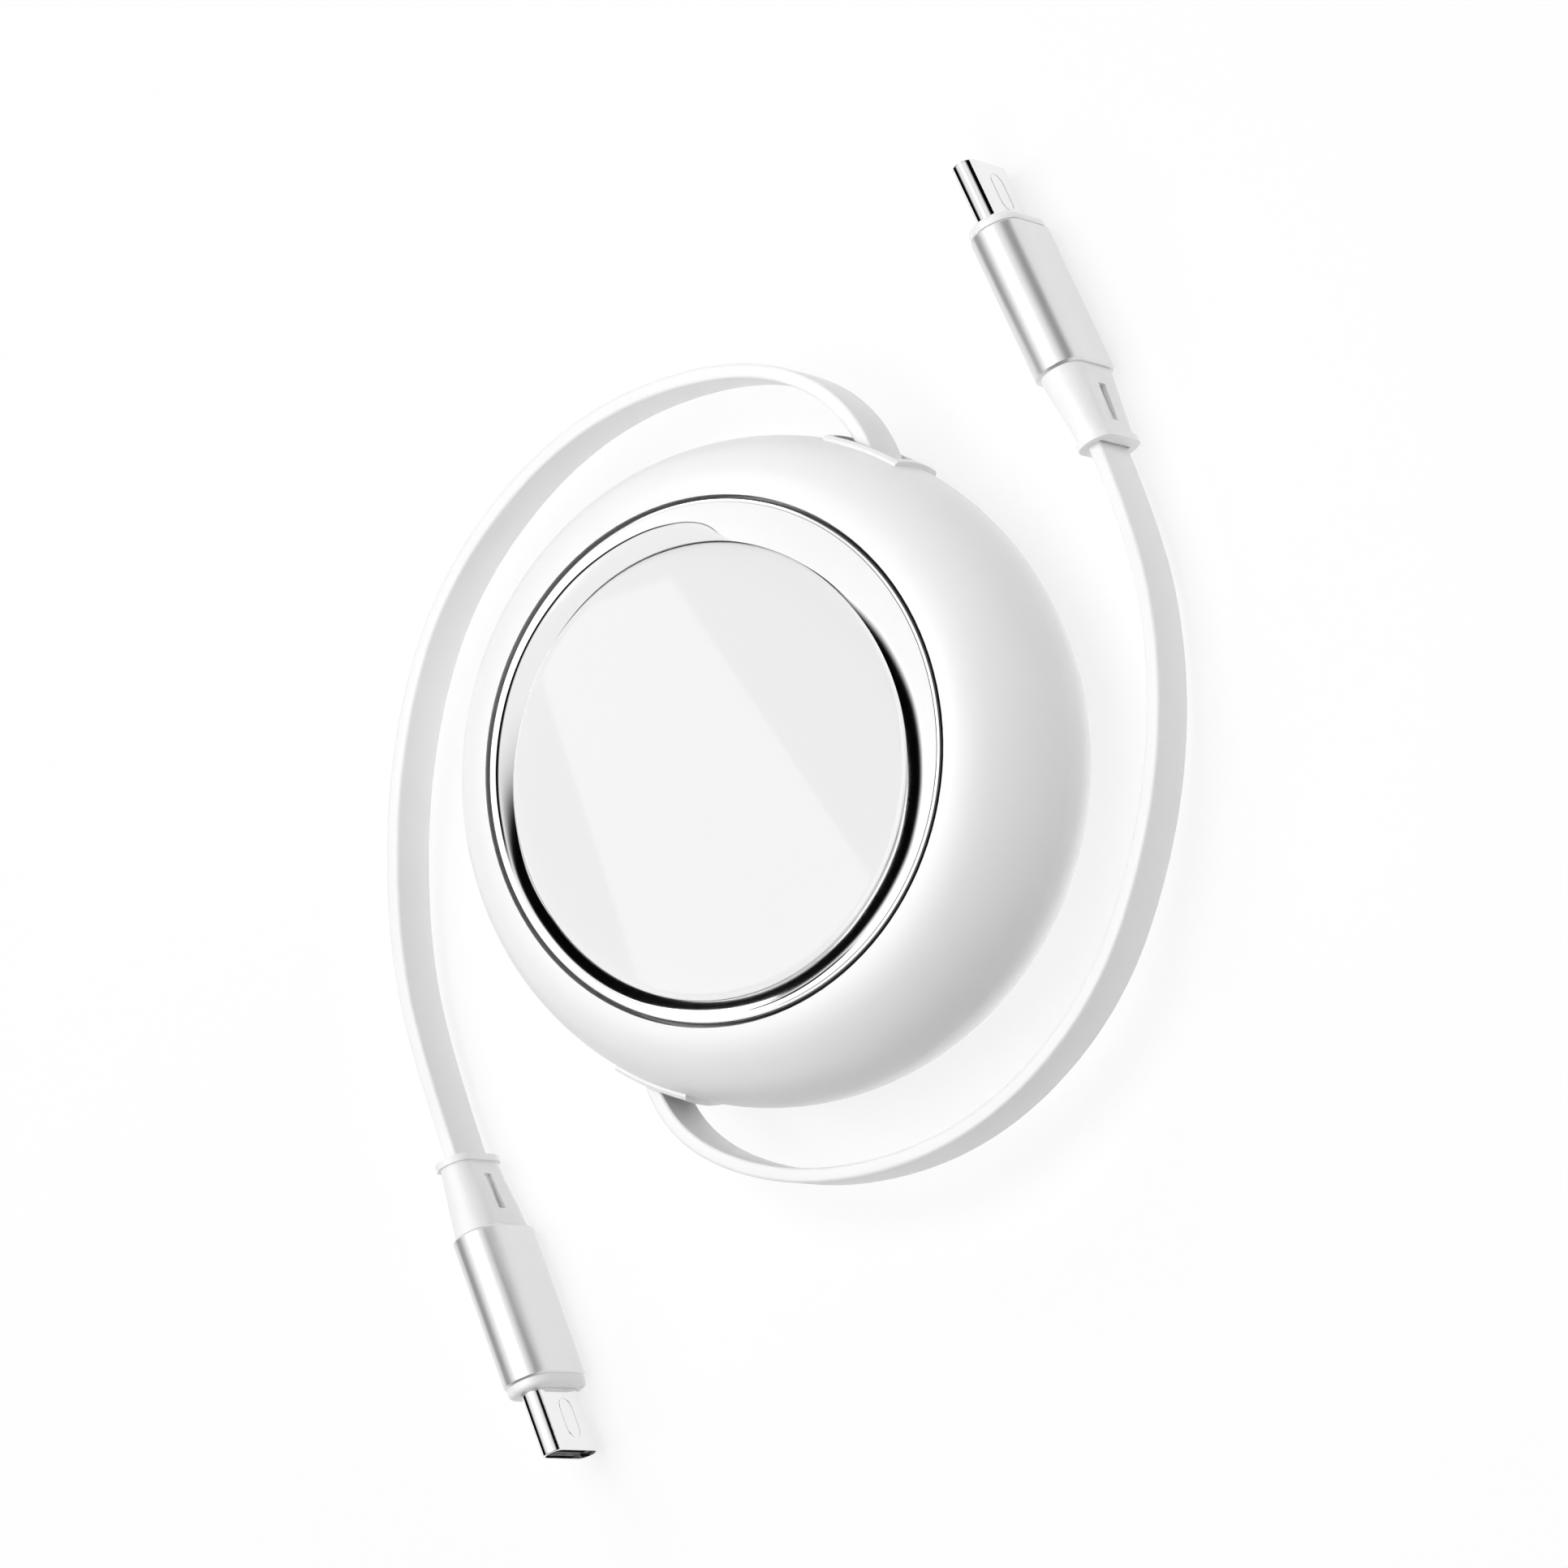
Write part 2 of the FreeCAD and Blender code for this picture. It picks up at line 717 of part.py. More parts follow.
def make_mainspring():
    """Flat strip coiled from half circles whose centres alternate by half the pitch."""
    step = dim.spring_pitch.value / 2
    half_strip = dim.spring_strip.value / 2
    inner = (dim.post_radius + dim.spring_post_gap).value
    room = (spring_room - dim.spring_outer_gap).value - inner - half_strip
    edges = []
    for side in (half_strip, -half_strip):
        for turn in range(int(room / step)):
            radius = inner + step * turn + side
            centre = Vector(step * (turn % 2), 0, 0)
            sign = 1 if turn % 2 == 0 else -1
            ends = [centre + Vector(radius * sign, 0, 0), centre - Vector(radius * sign, 0, 0)]
            middle = centre + Vector(0, radius * sign, 0)
            edges.append(Part.Arc(ends[0], middle, ends[1]).toShape())
            if turn == 0:
                first = ends[0]
            last = ends[1]
        if side > 0:
            outer_ends = (first, last)
    edges.append(Part.LineSegment(outer_ends[0], first).toShape())
    edges.append(Part.LineSegment(outer_ends[1], last).toShape())
    wire = Part.Wire(Part.__sortEdges__(edges))
    strip = Part.Face(wire).extrude(Vector(0, 0, dim.spring_width.value))
    spring = doc.addObject("Part::Feature", "mainspring")
    spring.Shape = strip
    floor = drum_bottom + dim.cover_thickness + dim.spring_floor_gap
    spring.Placement = Placement(Vector(0, 0, floor.value), Rotation())
    finished(spring, "mainspring")


def make_ratchet_pawl():
    """Lever with an eye on the front shell's pin and a round pin down in the track."""
    eye = doc.addObject("Part::Cylinder", "pawl_eye")
    bind(eye, "Radius", dim.pawl_eye_radius)
    bind(eye, "Height", dim.pawl_thickness)
    arm = doc.addObject("Part::Box", "pawl_arm")
    bind(arm, "Length", dim.pawl_reach)
    bind(arm, "Width", dim.pawl_arm_width)
    bind(arm, "Height", dim.pawl_thickness)
    bind(arm, "Placement.Base.y", -dim.pawl_arm_width / 2)
    nose = doc.addObject("Part::Cylinder", "pawl_nose")
    bind(nose, "Radius", dim.pawl_arm_width / 2)
    bind(nose, "Height", dim.pawl_thickness)
    bind(nose, "Placement.Base.x", dim.pawl_reach)
    drop = dim.pawl_lift + dim.track_depth - dim.pawl_tip_gap
    tip = doc.addObject("Part::Cylinder", "pawl_tip")
    bind(tip, "Radius", dim.pawl_tip_radius)
    bind(tip, "Height", drop + dim.pawl_thickness)
    bind(tip, "Placement.Base.x", dim.pawl_reach)
    bind(tip, "Placement.Base.z", -drop)
    lever = doc.addObject("Part::MultiFuse", "pawl_lever")
    lever.Shapes = [eye, arm, nose, tip]
    bore = doc.addObject("Part::Cylinder", "pawl_bore")
    bind(bore, "Radius", dim.pawl_pin_radius + dim.pawl_bore_clearance)
    bind(bore, "Height", dim.pawl_thickness)
    pawl = doc.addObject("Part::Cut", "ratchet_pawl")
    pawl.Base = lever
    pawl.Tool = bore
    pivot = pawl_pivot()
    pivot.z = pawl_z.value
    pawl.Placement = Placement(pivot, Rotation(Vector(0, 0, 1), pawl_angle()))
    finished(pawl, "ratchet_pawl")


def plug_placement(side, ahead=0.0):
    """Place on the floor plan at a distance along the plug from its strain relief's cable end."""
    yaw = math.radians(PLUG_YAW[side])
    x, y = PLUG_PLACE[side]
    place = Vector(x + ahead * math.cos(yaw), y + ahead * math.sin(yaw), plug_z.value)
    return Placement(place, Rotation(Vector(0, 0, 1), PLUG_YAW[side]))


# Positions along a plug from the cable end of its strain relief
sleeve_start = dim.relief_length
nose_start = sleeve_start + dim.sleeve_length
nose_end = nose_start + dim.nose_length
usb_start = nose_end - dim.usb_embedded
usb_length = dim.usb_embedded + dim.usb_exposed
board_width = dim.usb_width - dim.board_inset


def plug_body(label, side):
    """Body in the plug's own frame: length along X, width along Z."""
    body = doc.addObject("PartDesign::Body", label)
    body.Placement = plug_placement(side)
    return body


def stadium(body, name, start, width, thickness):
    sketch = new_sketch(body, name + "_outline", "YZ_Plane", start)
    draw_stadium(sketch, width, thickness)
    return sketch


def rectangle(body, name, start, width, thickness):
    """Rectangle across the plug, width upright."""
    sketch = new_sketch(body, name + "_outline", "YZ_Plane", start)
    x = thickness / 2
    y = width / 2
    draw(sketch, corner_list((-x, -y), (x, -y), (x, y), (-x, y)))
    return sketch


def end_edges(shape, x):
    """Names of the edges that lie wholly at x along the plug."""
    names = []
    for i, edge in enumerate(shape.Edges, 1):
        box = edge.BoundBox
        if abs(box.XMin - x) < 1e-6 and abs(box.XMax - x) < 1e-6:
            names.append("Edge%d" % i)
    return names


def rounded_end(body, name, base, x, radius, kind="PartDesign::Fillet"):
    """Rounds or bevels the edges at one end of the plug piece."""
    doc.recompute()
    feature = body.newObject(kind, name)
    feature.Base = (base, end_edges(base.Shape, x.value))
    bind(feature, "Radius" if kind.endswith("Fillet") else "Size", radius)
    return feature


def make_relief(side):
    body = plug_body("plug_%s_relief" % side, side)
    neck_width = dim.ribbon_width + dim.relief_wall_wide * 2
    neck_thickness = dim.ribbon_thickness + dim.relief_wall_flat * 2
    proud = dim.relief_lip_proud * 2
    lip = stadium(body, "lip", ZERO, neck_width + proud, neck_thickness + proud)
    extruded(body, "lip", lip, dim.relief_lip_length)
    neck = stadium(body, "neck", dim.relief_lip_length, neck_width, neck_thickness)
    foot = stadium(
        body, "foot", dim.relief_length,
        plug_width - dim.relief_inset_wide * 2, plug_thickness - dim.relief_inset_flat * 2,
    )
    taper = body.newObject("PartDesign::AdditiveLoft", "taper")
    taper.Profile = neck
    taper.Sections = [foot]
    hole = rectangle(
        body, "hole", ZERO,
        dim.ribbon_width + dim.ribbon_fit * 2, dim.ribbon_thickness + dim.ribbon_fit * 2,
    )
    extruded(body, "hole", hole, dim.relief_length, True, True)
    slit_end = dim.relief_slit_start + dim.relief_slit_length
    half = dim.relief_slit_width / 2
    outside = plug_thickness / 2
    for name, direction in (("near", 1), ("far", -1)):
        slit = new_sketch(body, "slit_%s_outline" % name, "XZ_Plane", outside * direction)
        draw(slit, corner_list(
            (dim.relief_slit_start, -half), (slit_end, -half),
            (slit_end, half), (dim.relief_slit_start, half),
        ))
        extruded(body, "slit_" + name, slit, dim.relief_slit_depth, True, direction < 0)
    finished(body, "plug_%s_relief" % side)


def make_sleeve(side):
    body = plug_body("plug_%s_sleeve" % side, side)
    outer = stadium(body, "tube", sleeve_start, plug_width, plug_thickness)
    tube = extruded(body, "tube", outer, dim.sleeve_length)
    back = rounded_end(body, "back_bevel", tube, sleeve_start, dim.sleeve_chamfer, "PartDesign::Chamfer")
    rounded_end(body, "front_bevel", back, nose_start, dim.sleeve_chamfer, "PartDesign::Chamfer")
    inner = stadium(
        body, "bore", sleeve_start,
        plug_width - dim.sleeve_wall * 2, plug_thickness - dim.sleeve_wall * 2,
    )
    extruded(body, "bore", inner, dim.sleeve_length, True, True)
    finished(body, "plug_%s_sleeve" % side)


def make_core(side):
    body = plug_body("plug_%s_core" % side, side)
    nose = stadium(
        body, "nose", nose_start,
        plug_width - dim.nose_inset * 2, plug_thickness - dim.nose_inset * 2,
    )
    rim = extruded(body, "nose", nose, dim.nose_length)
    rounded_end(body, "nose_round", rim, nose_end, dim.nose_round)
    margin = (dim.sleeve_wall + dim.core_clearance) * 2
    stem = stadium(body, "stem", sleeve_start, plug_width - margin, plug_thickness - margin)
    extruded(body, "stem", stem, dim.sleeve_length)
    usb_hole = stadium(
        body, "usb_hole", usb_start,
        dim.usb_width + dim.usb_fit * 2, dim.usb_thickness + dim.usb_fit * 2,
    )
    extruded(body, "usb_hole", usb_hole, dim.usb_embedded, True, True)
    room_start = usb_start - dim.board_length - dim.board_room
    room = rectangle(
        body, "board_room", room_start,
        board_width + dim.board_room, dim.board_thickness + dim.board_room,
    )
    extruded(body, "board_room", room, dim.board_length + dim.board_room, True, True)
    finished(body, "plug_%s_core" % side)


def make_usb_shell(side):
    body = plug_body("plug_%s_shell" % side, side)
    outer = stadium(body, "tube", usb_start, dim.usb_width, dim.usb_thickness)
    tube = extruded(body, "tube", outer, usb_length)
    rounded_end(body, "mouth_round", tube, usb_start + usb_length, dim.usb_round)
    inner = stadium(
        body, "bore", usb_start,
        dim.usb_width - dim.usb_wall * 2, dim.usb_thickness - dim.usb_wall * 2,
    )
    extruded(body, "bore", inner, usb_length, True, True)
    tab_end = usb_start + usb_length - dim.tab_setback
    tab_start = tab_end - dim.tab_length
    for name, direction in (("near", 1), ("far", -1)):
        tab = new_sketch(body, "tab_%s_outline" % name, "XZ_Plane", dim.usb_thickness / 2 * direction)
        draw_slot(tab, tab_start, tab_end, dim.tab_width)
        draw_slot(tab, tab_start + dim.tab_line, tab_end - dim.tab_line, dim.tab_width - dim.tab_line * 2)
        extruded(body, "tab_" + name, tab, dim.tab_depth, True, direction < 0)
    finished(body, "plug_%s_shell" % side)


def make_insulator(side):
    body = plug_body("plug_%s_insulator" % side, side)
    margin = (dim.usb_wall + dim.insulator_fit) * 2
    block = stadium(body, "block", usb_start, dim.usb_width - margin, dim.usb_thickness - margin)
    length = usb_length - dim.insulator_setback
    extruded(body, "block", block, length)
    mouth = rectangle(
        body, "tongue_slot", usb_start + length - dim.tongue_depth,
        dim.usb_width - dim.tongue_inset, dim.tongue_height,
    )
    extruded(body, "tongue_slot", mouth, dim.tongue_depth, True, True)
    finished(body, "plug_%s_insulator" % side)


def make_contacts(side):
    """Two rows of contact blades on the walls of the tongue slot."""
    front = usb_start + usb_length - dim.insulator_setback
    length = (dim.tongue_depth - dim.contact_setback).value
    start = (front - dim.tongue_depth).value
    width = dim.contact_width.value
    thickness = dim.contact_thickness.value
    wall = dim.tongue_height.value / 2
    first = -dim.contact_pitch.value * (CONTACTS_IN_A_ROW - 1) / 2
    blades = []
    for y in (wall - thickness, -wall):
        for i in range(CONTACTS_IN_A_ROW):
            z = first + i * dim.contact_pitch.value - width / 2
            blades.append(Part.makeBox(length, thickness, width, Vector(start, y, z)))
    contacts = doc.addObject("Part::Feature", "plug_%s_contacts" % side)
    contacts.Shape = Part.makeCompound(blades)
    contacts.Placement = plug_placement(side)
    finished(contacts, "plug_%s_contacts" % side)


def make_board(side):
    body = plug_body("plug_%s_board" % side, side)
    outline = rectangle(body, "card", usb_start - dim.board_length, board_width, dim.board_thickness)
    extruded(body, "card", outline, dim.board_length)
    finished(body, "plug_%s_board" % side)


def route_points(side):
    """The listed points, the last bend and the ribbon's end against the plug core."""
    points = [Vector(*point) for point in ROUTES[side]]
    points.append(plug_placement(side, -LAST_RUN).Base)
    points.append(plug_placement(side, dim.relief_length.value).Base)
    return points


def route_wire(points, side):
    """Straight runs joined by tangent arcs."""
    edges = []
    radii = []
    last = points[0]
    for before, corner, after in zip(points, points[1:], points[2:]):
        back = before - corner
        ahead = after - corner
        cut = BEND_SHARE * min(back.Length, ahead.Length)
        back.normalize()
        ahead.normalize()
        half_turn = (math.pi - back.getAngle(ahead)) / 2
        radius = cut / math.tan(half_turn)
        inward = back + ahead
        inward.normalize()
        middle = corner + inward * (radius / math.cos(half_turn) - radius)
        start = corner + back * cut
        end = corner + ahead * cut
        edges.append(Part.LineSegment(last, start).toShape())
        edges.append(Part.Arc(start, middle, end).toShape())
        radii.append(round(radius, 1))
        last = end
    edges.append(Part.LineSegment(last, points[-1]).toShape())
    print("ribbon_%s bend radii" % side, radii)
    return Part.Wire(edges)


def make_ribbon(side):
    """Flat ribbon standing on edge along its route."""
    points = route_points(side)
    spine = route_wire(points, side)
    across = Vector(0, 0, 1).cross(points[1] - points[0])
    across.normalize()
    across = across * (dim.ribbon_thickness.value / 2)
    up = Vector(0, 0, dim.ribbon_width.value / 2)
    start = points[0]
    corners = [start + across + up, start - across + up, start - across - up, start + across - up]
    section = Part.makePolygon(corners + corners[:1])
    sweep = Part.BRepOffsetAPI.MakePipeShell(spine)
    sweep.setBiNormalMode(Vector(0, 0, 1))
    sweep.add(section)
    sweep.build()
    sweep.makeSolid()
    ribbon = doc.addObject("Part::Feature", "ribbon_%s" % side)
    ribbon.Shape = sweep.shape()
    ribbon.Placement = Placement()
    expected = spine.Length * dim.ribbon_width.value * dim.ribbon_thickness.value
    print("ribbon_%s length %.1f, volume %.1f of %.1f" % (side, spine.Length, ribbon.Shape.Volume, expected))
    finished(ribbon, "ribbon_%s" % side)


make_front_shell()
make_rear_shell()
make_trim_ring()
make_disc_and_tape()
make_case_screw()
make_spool()
make_ring_piece(
    "spring_cover", bore_radius, cover_seat_radius - dim.cover_clearance,
    drum_bottom, dim.cover_thickness,
)
make_ring_piece(
    "cable_winding", dim.hub_radius + dim.winding_clearance, dim.winding_radius,
    mid_z - dim.ribbon_width / 2, dim.ribbon_width,
)
make_mainspring()
make_ratchet_pawl()
for plug in ("a", "b"):
    make_relief(plug)
    make_sleeve(plug)
    make_core(plug)
    make_usb_shell(plug)
    make_insulator(plug)
    make_contacts(plug)
    make_board(plug)
    make_ribbon(plug)

doc.recompute()

for item in doc.Objects:
    if "Invalid" in item.State or "Error" in item.State:
        raise RuntimeError("%s failed: %s" % (item.Name, item.State))
for item in parts:
    if item.Shape.isNull() or not item.Shape.isValid():
        raise RuntimeError("%s has no sound shape" % item.Label)

os.makedirs("parts", exist_ok=True)
for item in parts:
    item.Shape.exportStep("parts/%s.step" % item.Label)
print("wrote", len(parts), "pieces")
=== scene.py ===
"""Looks of the retractable USB-C charging cable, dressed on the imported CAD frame."""

import json
import math

import bmesh
import bpy
import numpy as np
from mathutils import Matrix, Vector


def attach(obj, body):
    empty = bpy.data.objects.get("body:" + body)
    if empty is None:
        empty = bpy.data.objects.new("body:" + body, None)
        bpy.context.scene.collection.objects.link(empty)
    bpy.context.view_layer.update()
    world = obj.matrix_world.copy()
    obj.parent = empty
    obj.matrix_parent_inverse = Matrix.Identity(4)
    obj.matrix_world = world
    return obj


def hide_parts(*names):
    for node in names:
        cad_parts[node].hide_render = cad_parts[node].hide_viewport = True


MM = 0.001
UP = Vector((0, 0, 1))

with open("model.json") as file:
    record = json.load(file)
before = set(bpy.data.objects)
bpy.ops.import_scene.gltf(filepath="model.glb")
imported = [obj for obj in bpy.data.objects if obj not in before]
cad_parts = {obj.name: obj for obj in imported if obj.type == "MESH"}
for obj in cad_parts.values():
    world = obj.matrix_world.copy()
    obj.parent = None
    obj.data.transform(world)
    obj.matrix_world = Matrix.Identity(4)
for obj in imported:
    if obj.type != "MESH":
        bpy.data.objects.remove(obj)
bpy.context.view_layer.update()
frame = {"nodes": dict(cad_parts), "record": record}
nodes = frame["nodes"]
scene = bpy.context.scene
scene.view_settings.view_transform = "Standard"

# Camera: its place in the object's frame, which way its picture's sides point, and its lens
CAMERA_PLACE = Vector((0.40297, 0.09189, 0.69122))
CAMERA_RIGHT = Vector((0.7853, 0.3482, -0.5119))
CAMERA_UP = Vector((-0.3574, 0.9301, 0.0844))
CAMERA_LENS = 186.34
CAMERA_SENSOR = 36.0
CAMERA_NEAR = 0.01

# Route of each ribbon from the winding to the plug, in millimetres, as the CAD has it
ROUTES = {
    "a": [
        (14.9, 15.5, 12.2),
        (5.4, 24.6, 12.2),
        (-4.1, 36.5, 12.2),
        (-19.0, 36.3, 11.6),
        (-36.0, 24.0, 10.2),
        (-45.2, 4.5, 8.3),
        (-44.7, -14.2, 6.6),
        (-37.3, -32.9, 5.6),
        (-27.29, -44.93, 5.35),
        (-16.0, -55.54, 5.35),
    ],
    "b": [
        (-14.9, -15.5, 12.2),
        (-4.8, -25.2, 12.2),
        (3.7, -37.0, 12.2),
        (19.5, -36.1, 11.6),
        (34.2, -25.6, 10.2),
        (41.1, -9.1, 8.3),
        (39.5, 8.3, 6.6),
        (33.7, 23.9, 5.6),
        (24.19, 36.75, 5.35),
        (12.16, 46.53, 5.35),
    ],
}
RIBBON_WIDTH = 6.0 * MM
RIBBON_THICKNESS = 1.45 * MM
RIBBON_EDGE_ROUND = 0.35 * MM
SPLINE_ORDER = 3
SPLINE_STEPS = 24

# Face disc in millimetres: it sits lower than the ring and off its centre, and its edge is rounded
# over a width and a drop, with a short run of flat inside it. A small flat closes its middle.
DISC_CENTRE = (-0.5, -1.2)
DISC_RADIUS = 22.3
DISC_BOTTOM = 22.4
DISC_TOP = 23.5
DISC_EDGE = (0.6, 0.18)
DISC_EDGE_RUN = 0.2
DISC_MIDDLE = 0.5
DISC_STEPS = 360
DISC_EDGE_STEPS = 16

# Face ring in millimetres: a bead round a flat shoulder, and the pocket that holds the disc
RING_RADIUS = 25.6
RING_BOTTOM = 22.2
RING_TOP = 24.4
RING_STEPS = 720
BEAD_RADIUS = 0.32
BEAD_RISE = 0.04
BEAD_STEPS = 14
SHOULDER_LEAST = 0.03
POCKET_CLEARANCE = 0.06
POCKET_RADIUS = DISC_RADIUS + POCKET_CLEARANCE

# Radii in millimetres between which the ring's polish gives way to painted shade on its outer side,
# a near-black colour that stands in for the shadow in the gap round the ring
GAP_SHADE_RADII = (RING_RADIUS - 0.11, RING_RADIUS - 0.01)
GAP_SHADE_LEVEL = 0.02

# Recess that winds round the disc in the ring: bearing in degrees, width and step at its edge in
# millimetres, and its slope at that edge and at the disc
RECESS = (
    (85, 0.05, 0.00, 0.30, 0.60),
    (68, 0.50, 0.00, 0.05, 0.35),
    (55, 1.30, 0.00, 0.00, 0.42),
    (35, 2.20, 0.00, 0.00, 0.51),
    (15, 2.60, 0.00, 0.00, 0.58),
    (0, 2.75, 0.00, 0.00, 0.62),
    (-20, 2.30, 0.00, 0.00, 0.67),
    (-32, 2.05, 0.08, 0.00, 0.72),
    (-45, 1.90, 0.11, 0.00, 0.79),
    (-70, 1.45, 0.08, 0.25, 0.92),
    (-90, 1.12, 0.03, 0.50, 1.02),
    (-115, 1.03, 0.03, 0.55, 1.25),
    (-130, 1.14, 0.12, 0.60, 1.50),
    (-143, 1.20, 0.20, 0.62, 1.15),
    (-156, 1.42, 0.22, 0.78, 0.90),
    (-170, 1.64, 0.22, 0.74, 0.80),
    (-185, 1.92, 0.21, 0.50, 0.62),
    (-205, 2.20, 0.20, 0.20, 0.40),
    (-230, 2.30, 0.13, 0.07, 0.26),
    (-240, 2.10, 0.09, 0.04, 0.15),
    (-246, 1.50, 0.06, 0.02, 0.08),
    (-249, 0.60, 0.03, 0.00, 0.04),
    (-250, 0.02, 0.00, 0.05, 0.05),
    (-275, 0.05, 0.00, 0.30, 0.60),
)

# How the recess is drawn: points across it, how late its slope changes, how many neighbours on each
# side the running mean takes, and the width of its step and the most of the recess that it takes
RECESS_STEPS = 24
RECESS_EASE = 0.45
RECESS_SMOOTHING = 6
STEP_WIDTH = 0.18
STEP_SHARE = 1 / 3

# Changes of shade, of gloss and of height over a surface: waves per metre and depth of detail
SHADE_WAVES, SHADE_DETAIL = 60.0, 2.0
GLOSS_WAVES, GLOSS_DETAIL = 900.0, 4.0
GRAIN_DETAIL = 3.0

# Floor: half its side in metres, its shade, and the share of white in what camera and mirrors see
FLOOR_HALF = 3.0
FLOOR_SHADE = 0.9
FLOOR_WHITE = 0.75

# World: its even light, and what mirrors see of it, a dark wall under a bright ceiling. The wall
# fades out between two heights, given as sines of the elevation.
WORLD_LIGHT = 0.12
WALL_FADE = (0.45, 0.75)
CEILING_LEVEL = 0.94

# Lamps: place and size in metres, watts, and whether mirrors see them
OVERHEAD_PLACE = (-0.1, 0.05, 1.1)
OVERHEAD_SIZE = 0.8
LAMPS = {
    "overhead": (OVERHEAD_PLACE, OVERHEAD_SIZE, 8.6, False),
    "left": ((-0.8, 0.5, 0.65), 0.6, 2.0, True),
    "front": ((-0.55, -0.6, 0.85), 0.6, 1.9, False),
    "right": ((0.45, -0.4, 0.95), 0.6, 1.9, False),
    "back": ((0.3, 0.88, 0.2), 0.4, 1.7, False),
}

# Lamp that lies on the table: brightness, size and height in metres, and the spread of its light
TABLE_GLOW = 0.46
TABLE_GLOW_SIZE = 0.5
TABLE_GLOW_HEIGHT = 0.0003
TABLE_GLOW_SPREAD = math.radians(60)

# Cards overhead that only mirrors see. The window card is given by the corners of the lighter band
# that it makes on the disc, in millimetres; the round card takes the overhead lamp's place.
WINDOW_GLARE = ((-25.9, 4.4), (4.3, -26.5), (27.7, -7.9), (-12.1, 14.6))
WINDOW_HEIGHT = 1.0
WINDOW_LEVEL = 2.4
ROUND_CARD_SIDES = 48
ROUND_CARD_LEVEL = 3.0


def grey(level):
    return (level, level, level, 1)


def greys(low, high):
    return grey(low), grey(high)


# Finish of each material slot: the two shades that it varies between, its range of roughness, and
# where it has one, its grain as waves per metre and depth in metres
FINISHES = {
    "case_white": dict(
        shades=greys(0.86, 0.88), roughness=(0.30, 0.36), specular=0.25, grain=(1500.0, 1e-6)
    ),
    "trim_chrome": dict(shades=greys(0.90, 0.93), roughness=(0.10, 0.13), metallic=1.0),
    "disc_grey": dict(shades=greys(0.76, 0.77), roughness=(0.012, 0.02)),
    "tape": dict(shades=greys(0.60, 0.65), roughness=(0.5, 0.6)),
    "steel": dict(shades=greys(0.45, 0.50), roughness=(0.3, 0.4), metallic=1.0),
    "spring_steel": dict(
        shades=((0.20, 0.22, 0.26, 1), (0.26, 0.28, 0.32, 1)), roughness=(0.3, 0.4), metallic=1.0
    ),
    "reel_plastic": dict(shades=greys(0.60, 0.64), roughness=(0.4, 0.5)),
    "ribbon_white": dict(shades=greys(0.83, 0.86), roughness=(0.5, 0.6), grain=(2500.0, 6e-6)),
    "pawl_plastic": dict(shades=greys(0.50, 0.54), roughness=(0.4, 0.5)),
    "relief_white": dict(shades=greys(0.85, 0.88), roughness=(0.42, 0.50), grain=(3000.0, 5e-6)),
    "sleeve_aluminium": dict(shades=greys(0.78, 0.81), roughness=(0.29, 0.34), metallic=0.7),
    "core_white": dict(shades=greys(0.84, 0.87), roughness=(0.25, 0.32)),
    "plug_steel": dict(shades=greys(0.86, 0.90), roughness=(0.05, 0.09), metallic=1.0),
    "insulator_black": dict(shades=greys(0.010, 0.014), roughness=(0.4, 0.5)),
    "contact_gold": dict(
        shades=((0.75, 0.53, 0.20, 1), (0.80, 0.58, 0.24, 1)), roughness=(0.15, 0.25), metallic=1.0
    ),
    "board_green": dict(
        shades=((0.010, 0.12, 0.05, 1), (0.015, 0.15, 0.06, 1)), roughness=(0.35, 0.45)
    ),
}


def node_tree(material):
    """A material's node tree and the shader in it."""
    material.use_nodes = True
    tree = material.node_tree
    return tree, tree.nodes["Principled BSDF"]


def feed(tree, value, socket):
    """Links another socket to a socket, or sets it to a number or colour."""
    if isinstance(value, bpy.types.NodeSocket):
        tree.links.new(value, socket)
    else:
        socket.default_value = value


def noise(tree, scale, detail):
    """Noise over the object's own coordinates, scale in waves per metre."""
    place = tree.nodes.new("ShaderNodeTexCoord")
    texture = tree.nodes.new("ShaderNodeTexNoise")
    texture.inputs["Scale"].default_value = scale
    texture.inputs["Detail"].default_value = detail
    tree.links.new(place.outputs["Object"], texture.inputs["Vector"])
    return texture.outputs["Fac"]


def ranged(tree, value, before, after, kind="LINEAR"):
    """Maps the range before to the range after."""
    node = tree.nodes.new("ShaderNodeMapRange")
    node.interpolation_type = kind
    for name, limits in (("From", before), ("To", after)):
        node.inputs[name + " Min"].default_value = limits[0]
        node.inputs[name + " Max"].default_value = limits[1]
    tree.links.new(value, node.inputs["Value"])
    return node.outputs["Result"]


def mixed(tree, factor, first, second, kind="FLOAT"):
    """First where the factor is 0 and second where it is 1, as numbers, colours or sockets."""
    node = tree.nodes.new("ShaderNodeMix")
    node.data_type = kind
    tree.links.new(factor, node.inputs["Factor"])
    feed(tree, first, node.inputs["A"])
    feed(tree, second, node.inputs["B"])
    return node.outputs["Result"]


def calculated(tree, operation, first, second):
    """Result of a Math node for two numbers or sockets."""
    node = tree.nodes.new("ShaderNodeMath")
    node.operation = operation
    feed(tree, first, node.inputs[0])
    feed(tree, second, node.inputs[1])
    return node.outputs[0]


def bumped(tree, shader, height, depth):
    """Gives a shader a bump from a height, depth in metres."""
    node = tree.nodes.new("ShaderNodeBump")
    node.inputs["Strength"].default_value = 1.0
    node.inputs["Distance"].default_value = depth
    tree.links.new(height, node.inputs["Height"])
    tree.links.new(node.outputs["Normal"], shader.inputs["Normal"])


